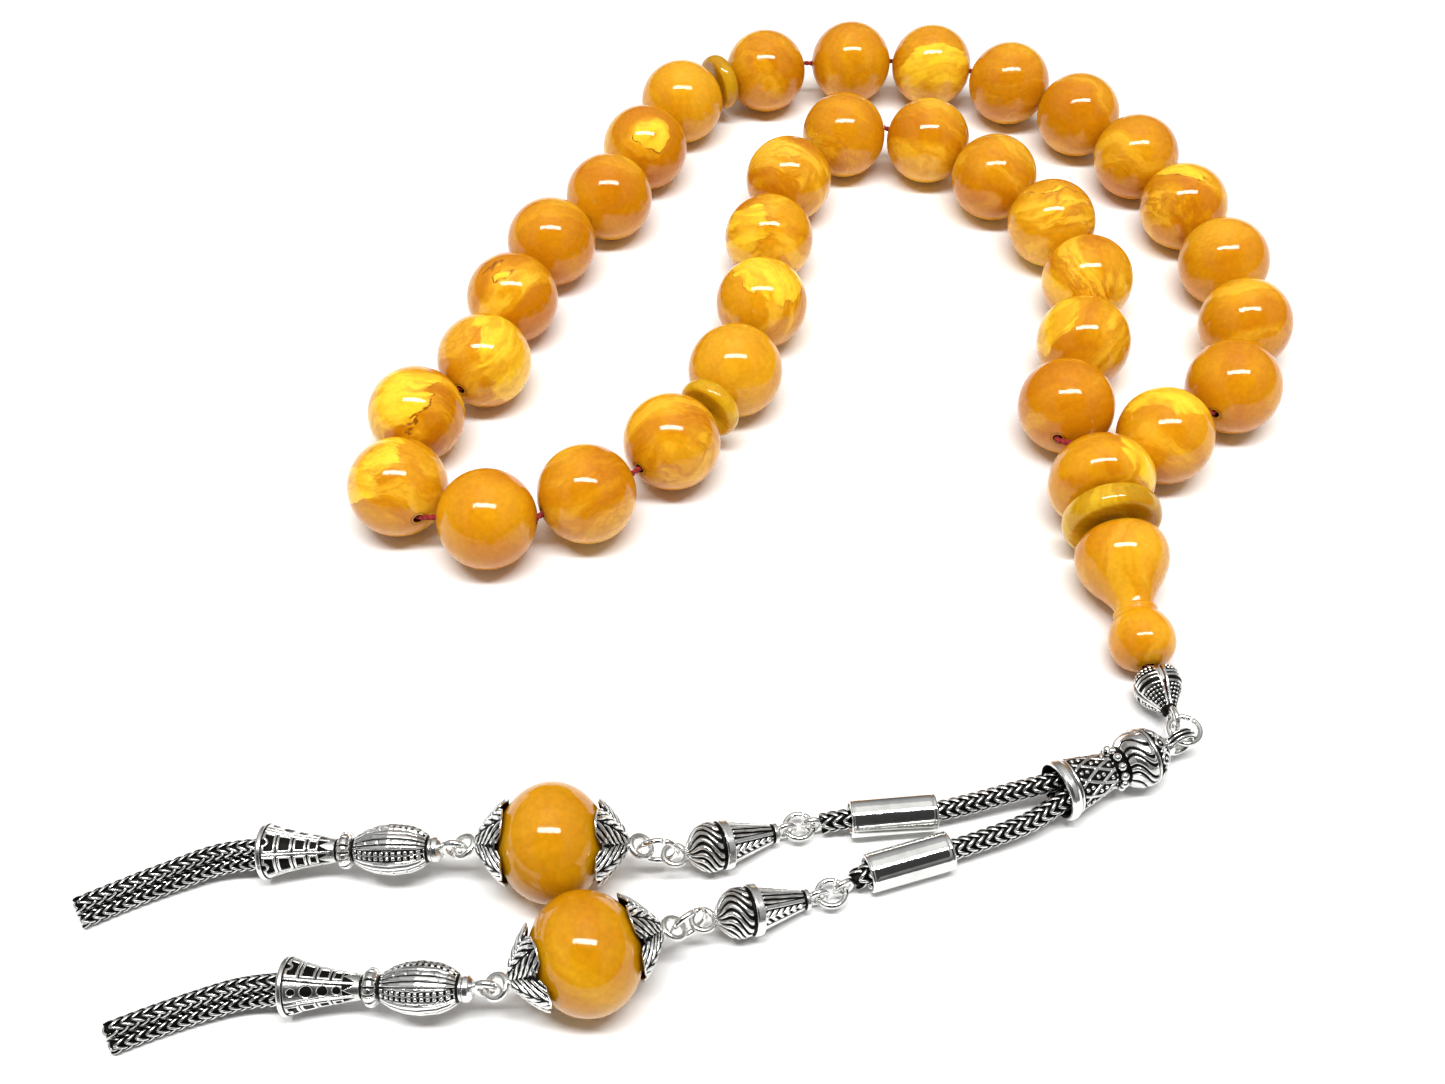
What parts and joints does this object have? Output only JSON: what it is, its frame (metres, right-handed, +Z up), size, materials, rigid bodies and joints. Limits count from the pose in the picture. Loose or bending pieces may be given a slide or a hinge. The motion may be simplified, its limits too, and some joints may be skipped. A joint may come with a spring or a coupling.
{
  "type": "prayer beads",
  "caption": "String of polished amber beads with thin marker discs, a long turned head piece and a silver tassel of two jointed strands.",
  "frame": {"origin": "on the ground plane, under the middle of the bounding box of the whole piece", "axes": "+Z up, the beads lie on z = 0; +Y from the tassel towards the far end of the bead loop; +X to the right"},
  "size_m": [0.1632, 0.1878, 0.015],
  "materials": {
    "honey_amber": "polished",
    "olive_amber": "polished",
    "butter_amber": "polished",
    "oxidised_silver": "oxidised",
    "polished_silver": "polished",
    "red_thread": "matte"
  },
  "bodies": {
    "imame": {"imame_collector_bead": "honey_amber", "imame_disc": "olive_amber", "imame_vase": "honey_amber", "thread": "red_thread"},
    "tulip_cap": {"tulip_cap": "oxidised_silver"},
    "head_link": {"head_link": "polished_silver"},
    "tassel_head": {"tassel_head": "oxidised_silver"},
    "upper_foxtail_chain": {"upper_foxtail_chain": "oxidised_silver"},
    "upper_sleeve": {"upper_sleeve": "polished_silver"},
    "upper_end_ring": {"upper_end_ring": "polished_silver"},
    "upper_acorn": {"upper_acorn": "oxidised_silver"},
    "upper_jump_ring": {"upper_jump_ring": "polished_silver"},
    "upper_caps_and_pin": {"upper_caps_and_pin": "oxidised_silver"},
    "upper_amber_bead": {"upper_amber_bead": "butter_amber"},
    "upper_casting": {"upper_casting": "oxidised_silver"},
    "upper_tail_chains": {"upper_tail_chains": "oxidised_silver"},
    "lower_foxtail_chain": {"lower_foxtail_chain": "oxidised_silver"},
    "lower_sleeve": {"lower_sleeve": "polished_silver"},
    "lower_end_ring": {"lower_end_ring": "polished_silver"},
    "lower_acorn": {"lower_acorn": "oxidised_silver"},
    "lower_jump_ring": {"lower_jump_ring": "polished_silver"},
    "lower_caps_and_pin": {"lower_caps_and_pin": "oxidised_silver"},
    "lower_amber_bead": {"lower_amber_bead": "butter_amber"},
    "lower_casting": {"lower_casting": "oxidised_silver"},
    "lower_tail_chains": {"lower_tail_chains": "oxidised_silver"},
    "bead_01": {"bead_01": "honey_amber"},
    "bead_02": {"bead_02": "honey_amber"},
    "bead_03": {"bead_03": "honey_amber"},
    "bead_04": {"bead_04": "honey_amber"},
    "bead_05": {"bead_05": "honey_amber"},
    "bead_06": {"bead_06": "honey_amber"},
    "bead_07": {"bead_07": "honey_amber"},
    "bead_08": {"bead_08": "honey_amber"},
    "bead_09": {"bead_09": "honey_amber"},
    "bead_10": {"bead_10": "honey_amber"},
    "bead_11": {"bead_11": "honey_amber"},
    "bead_12": {"bead_12": "honey_amber"},
    "bead_13": {"bead_13": "honey_amber"},
    "bead_14": {"bead_14": "honey_amber"},
    "bead_15": {"bead_15": "honey_amber"},
    "bead_16": {"bead_16": "honey_amber"},
    "bead_17": {"bead_17": "honey_amber"},
    "bead_18": {"bead_18": "honey_amber"},
    "bead_19": {"bead_19": "honey_amber"},
    "bead_20": {"bead_20": "honey_amber"},
    "bead_21": {"bead_21": "honey_amber"},
    "bead_22": {"bead_22": "honey_amber"},
    "bead_23": {"bead_23": "honey_amber"},
    "bead_24": {"bead_24": "honey_amber"},
    "bead_25": {"bead_25": "honey_amber"},
    "bead_26": {"bead_26": "honey_amber"},
    "bead_27": {"bead_27": "honey_amber"},
    "bead_28": {"bead_28": "honey_amber"},
    "bead_29": {"bead_29": "honey_amber"},
    "bead_30": {"bead_30": "honey_amber"},
    "bead_31": {"bead_31": "honey_amber"},
    "bead_32": {"bead_32": "honey_amber"},
    "bead_33": {"bead_33": "honey_amber"},
    "marker_disc_1": {"marker_disc_1": "olive_amber"},
    "marker_disc_2": {"marker_disc_2": "olive_amber"}
  },
  "joints": [
    {"name": "cap_swing", "type": "hinge", "parent": "imame", "child": "tulip_cap", "pos_m": [0.05138, -0.04583, 0.00353], "axis": [0, 0, 1], "range_deg": [-8, 8]},
    {"name": "link_swing", "type": "hinge", "parent": "tulip_cap", "child": "head_link", "pos_m": [0.0523, -0.05082, 0.00397], "axis": [0, 0, -1], "range_deg": [-10, 10]},
    {"name": "head_swing", "type": "hinge", "parent": "head_link", "child": "tassel_head", "pos_m": [0.05339, -0.0525, 0.00397], "axis": [0, 0, 1], "range_deg": [-4, 8]},
    {"name": "upper_chain_swing", "type": "hinge", "parent": "tassel_head", "child": "upper_foxtail_chain", "pos_m": [0.03866, -0.05893, 0.00398], "axis": [0, 0, 1], "range_deg": [-5, 0]},
    {"name": "upper_sleeve_slide", "type": "slide", "parent": "upper_foxtail_chain", "child": "upper_sleeve", "axis": [-0.9954, -0.0958, 0], "range_m": [-0.0025, 0.0015]},
    {"name": "upper_ring_swing", "type": "hinge", "parent": "upper_foxtail_chain", "child": "upper_end_ring", "pos_m": [0.0063, -0.06489, 0.00175], "axis": [0, 0, 1], "range_deg": [-5, 0]},
    {"name": "upper_acorn_swing", "type": "hinge", "parent": "upper_end_ring", "child": "upper_acorn", "pos_m": [0.00461, -0.06508, 0.00175], "axis": [0, 0, 1], "range_deg": [-6, 0]},
    {"name": "upper_jump_ring_swing", "type": "hinge", "parent": "upper_acorn", "child": "upper_jump_ring", "pos_m": [-0.01038, -0.07039, 0.00413], "axis": [0, 0, 1], "range_deg": [-6, 0]},
    {"name": "upper_pin_swing", "type": "hinge", "parent": "upper_jump_ring", "child": "upper_caps_and_pin", "pos_m": [-0.01428, -0.07052, 0.00525], "axis": [0, 0, 1], "range_deg": [-6, 0]},
    {"name": "upper_amber_spin", "type": "hinge", "parent": "upper_caps_and_pin", "child": "upper_amber_bead", "pos_m": [-0.02476, -0.07052, 0.0072], "axis": [-1, 0, 0], "continuous": true},
    {"name": "upper_casting_swing", "type": "hinge", "parent": "upper_caps_and_pin", "child": "upper_casting", "pos_m": [-0.03524, -0.07052, 0.0072], "axis": [0, 0, 1], "range_deg": [-6, 4]},
    {"name": "upper_tail_swing", "type": "hinge", "parent": "upper_casting", "child": "upper_tail_chains", "pos_m": [-0.05689, -0.06958, 0.00368], "axis": [0, 0, 1], "range_deg": [-5, 3]},
    {"name": "lower_chain_swing", "type": "hinge", "parent": "tassel_head", "child": "lower_foxtail_chain", "pos_m": [0.03976, -0.06139, 0.00398], "axis": [0, 0, 1], "range_deg": [0, 5]},
    {"name": "lower_sleeve_slide", "type": "slide", "parent": "lower_foxtail_chain", "child": "lower_sleeve", "axis": [-0.9537, -0.3007, 0], "range_m": [-0.0025, 0.0015]},
    {"name": "lower_ring_swing", "type": "hinge", "parent": "lower_foxtail_chain", "child": "lower_end_ring", "pos_m": [0.00971, -0.07339, 0.00175], "axis": [0, 0, 1], "range_deg": [0, 5]},
    {"name": "lower_acorn_swing", "type": "hinge", "parent": "lower_end_ring", "child": "lower_acorn", "pos_m": [0.00821, -0.07418, 0.00175], "axis": [0, 0, 1], "range_deg": [0, 6]},
    {"name": "lower_jump_ring_swing", "type": "hinge", "parent": "lower_acorn", "child": "lower_jump_ring", "pos_m": [-0.00696, -0.07896, 0.00413], "axis": [0, 0, 1], "range_deg": [0, 6]},
    {"name": "lower_pin_swing", "type": "hinge", "parent": "lower_jump_ring", "child": "lower_caps_and_pin", "pos_m": [-0.01019, -0.08114, 0.00525], "axis": [0, 0, 1], "range_deg": [0, 6]},
    {"name": "lower_amber_spin", "type": "hinge", "parent": "lower_caps_and_pin", "child": "lower_amber_bead", "pos_m": [-0.02004, -0.08472, 0.0072], "axis": [-0.9397, -0.342, 0], "continuous": true},
    {"name": "lower_casting_swing", "type": "hinge", "parent": "lower_caps_and_pin", "child": "lower_casting", "pos_m": [-0.02989, -0.08831, 0.0072], "axis": [0, 0, 1], "range_deg": [-4, 6]},
    {"name": "lower_tail_swing", "type": "hinge", "parent": "lower_casting", "child": "lower_tail_chains", "pos_m": [-0.05152, -0.08699, 0.00368], "axis": [0, 0, 1], "range_deg": [-3, 5]},
    {"name": "bead_01_spin", "type": "hinge", "parent": "imame", "child": "bead_01", "pos_m": [0.04511, 0.00172, 0.007], "axis": [0.3039, 0.9527, 0], "continuous": true},
    {"name": "bead_02_spin", "type": "hinge", "parent": "imame", "child": "bead_02", "pos_m": [0.04941, 0.0152, 0.007], "axis": [0.2387, 0.9711, 0], "continuous": true},
    {"name": "bead_03_spin", "type": "hinge", "parent": "imame", "child": "bead_03", "pos_m": [0.05185, 0.02916, 0.007], "axis": [-0.0511, 0.9987, 0], "continuous": true},
    {"name": "bead_04_spin", "type": "hinge", "parent": "imame", "child": "bead_04", "pos_m": [0.048, 0.0428, 0.007], "axis": [-0.4234, 0.9059, 0], "continuous": true},
    {"name": "bead_05_spin", "type": "hinge", "parent": "imame", "child": "bead_05", "pos_m": [0.04002, 0.05449, 0.007], "axis": [-0.6441, 0.7649, 0], "continuous": true},
    {"name": "bead_06_spin", "type": "hinge", "parent": "imame", "child": "bead_06", "pos_m": [0.02985, 0.06434, 0.007], "axis": [-0.9044, 0.4267, 0], "continuous": true},
    {"name": "bead_07_spin", "type": "hinge", "parent": "imame", "child": "bead_07", "pos_m": [0.01577, 0.06593, 0.007], "axis": [-0.9166, -0.3999, 0], "continuous": true},
    {"name": "bead_08_spin", "type": "hinge", "parent": "imame", "child": "bead_08", "pos_m": [0.00617, 0.054, 0.007], "axis": [-0.4384, -0.8988, 0], "continuous": true},
    {"name": "bead_09_spin", "type": "hinge", "parent": "imame", "child": "bead_09", "pos_m": [0.00268, 0.03909, 0.007], "axis": [-0.159, -0.9873, 0], "continuous": true},
    {"name": "bead_10_spin", "type": "hinge", "parent": "imame", "child": "bead_10", "pos_m": [0.00131, 0.02384, 0.007], "axis": [-0.1797, -0.9837, 0], "continuous": true},
    {"name": "bead_11_spin", "type": "hinge", "parent": "imame", "child": "bead_11", "pos_m": [-0.0028, 0.00908, 0.007], "axis": [-0.4112, -0.9115, 0], "continuous": true},
    {"name": "bead_12_spin", "type": "hinge", "parent": "imame", "child": "bead_12", "pos_m": [-0.01188, -0.0054, 0.007], "axis": [-0.6464, -0.763, 0], "continuous": true},
    {"name": "bead_13_spin", "type": "hinge", "parent": "imame", "child": "bead_13", "pos_m": [-0.02351, -0.01536, 0.007], "axis": [-0.8641, -0.5033, 0], "continuous": true},
    {"name": "bead_14_spin", "type": "hinge", "parent": "imame", "child": "bead_14", "pos_m": [-0.03689, -0.01997, 0.007], "axis": [-0.9988, 0.0497, 0], "continuous": true},
    {"name": "bead_15_spin", "type": "hinge", "parent": "imame", "child": "bead_15", "pos_m": [-0.04977, -0.01405, 0.007], "axis": [-0.5108, 0.8597, 0], "continuous": true},
    {"name": "bead_16_spin", "type": "hinge", "parent": "imame", "child": "bead_16", "pos_m": [-0.0488, 0.00007, 0.007], "axis": [0.3603, 0.9328, 0], "continuous": true},
    {"name": "bead_17_spin", "type": "hinge", "parent": "imame", "child": "bead_17", "pos_m": [-0.04002, 0.01117, 0.007], "axis": [0.43, 0.9028, 0], "continuous": true},
    {"name": "bead_18_spin", "type": "hinge", "parent": "imame", "child": "bead_18", "pos_m": [-0.03692, 0.02499, 0.007], "axis": [0.2922, 0.9564, 0], "continuous": true},
    {"name": "bead_19_spin", "type": "hinge", "parent": "imame", "child": "bead_19", "pos_m": [-0.03177, 0.03819, 0.007], "axis": [0.4915, 0.8709, 0], "continuous": true},
    {"name": "bead_20_spin", "type": "hinge", "parent": "imame", "child": "bead_20", "pos_m": [-0.02313, 0.04942, 0.007], "axis": [0.5027, 0.8645, 0], "continuous": true},
    {"name": "bead_21_spin", "type": "hinge", "parent": "imame", "child": "bead_21", "pos_m": [-0.01765, 0.06247, 0.007], "axis": [0.4058, 0.914, 0], "continuous": true},
    {"name": "bead_22_spin", "type": "hinge", "parent": "imame", "child": "bead_22", "pos_m": [-0.01165, 0.07529, 0.007], "axis": [0.6845, 0.729, 0], "continuous": true},
    {"name": "bead_23_spin", "type": "hinge", "parent": "imame", "child": "bead_23", "pos_m": [0.00288, 0.08433, 0.007], "axis": [0.9316, 0.3636, 0], "continuous": true},
    {"name": "bead_24_spin", "type": "hinge", "parent": "imame", "child": "bead_24", "pos_m": [0.01798, 0.08686, 0.007], "axis": [0.9986, 0.0523, 0], "continuous": true},
    {"name": "bead_25_spin", "type": "hinge", "parent": "imame", "child": "bead_25", "pos_m": [0.03212, 0.08586, 0.007], "axis": [0.975, -0.2221, 0], "continuous": true},
    {"name": "bead_26_spin", "type": "hinge", "parent": "imame", "child": "bead_26", "pos_m": [0.04528, 0.08064, 0.007], "axis": [0.8592, -0.5116, 0], "continuous": true},
    {"name": "bead_27_spin", "type": "hinge", "parent": "imame", "child": "bead_27", "pos_m": [0.05614, 0.07156, 0.007], "axis": [0.6744, -0.7383, 0], "continuous": true},
    {"name": "bead_28_spin", "type": "hinge", "parent": "imame", "child": "bead_28", "pos_m": [0.06421, 0.05991, 0.007], "axis": [0.4882, -0.8728, 0], "continuous": true},
    {"name": "bead_29_spin", "type": "hinge", "parent": "imame", "child": "bead_29", "pos_m": [0.06991, 0.04695, 0.007], "axis": [0.3409, -0.9401, 0], "continuous": true},
    {"name": "bead_30_spin", "type": "hinge", "parent": "imame", "child": "bead_30", "pos_m": [0.07384, 0.03334, 0.007], "axis": [0.1607, -0.987, 0], "continuous": true},
    {"name": "bead_31_spin", "type": "hinge", "parent": "imame", "child": "bead_31", "pos_m": [0.07443, 0.01919, 0.007], "axis": [-0.1352, -0.9908, 0], "continuous": true},
    {"name": "bead_32_spin", "type": "hinge", "parent": "imame", "child": "bead_32", "pos_m": [0.07007, 0.00572, 0.007], "axis": [-0.5641, -0.8257, 0], "continuous": true},
    {"name": "bead_33_spin", "type": "hinge", "parent": "imame", "child": "bead_33", "pos_m": [0.05843, -0.00423, 0.007], "axis": [-0.7603, -0.6496, 0], "continuous": true},
    {"name": "marker_disc_1_spin", "type": "hinge", "parent": "imame", "child": "marker_disc_1", "pos_m": [-0.00656, 0.00135, 0.007], "axis": [-0.5341, -0.8454, 0], "continuous": true},
    {"name": "marker_disc_2_spin", "type": "hinge", "parent": "imame", "child": "marker_disc_2", "pos_m": [-0.00521, 0.08103, 0.007], "axis": [0.8285, 0.5601, 0], "continuous": true}
  ]
}
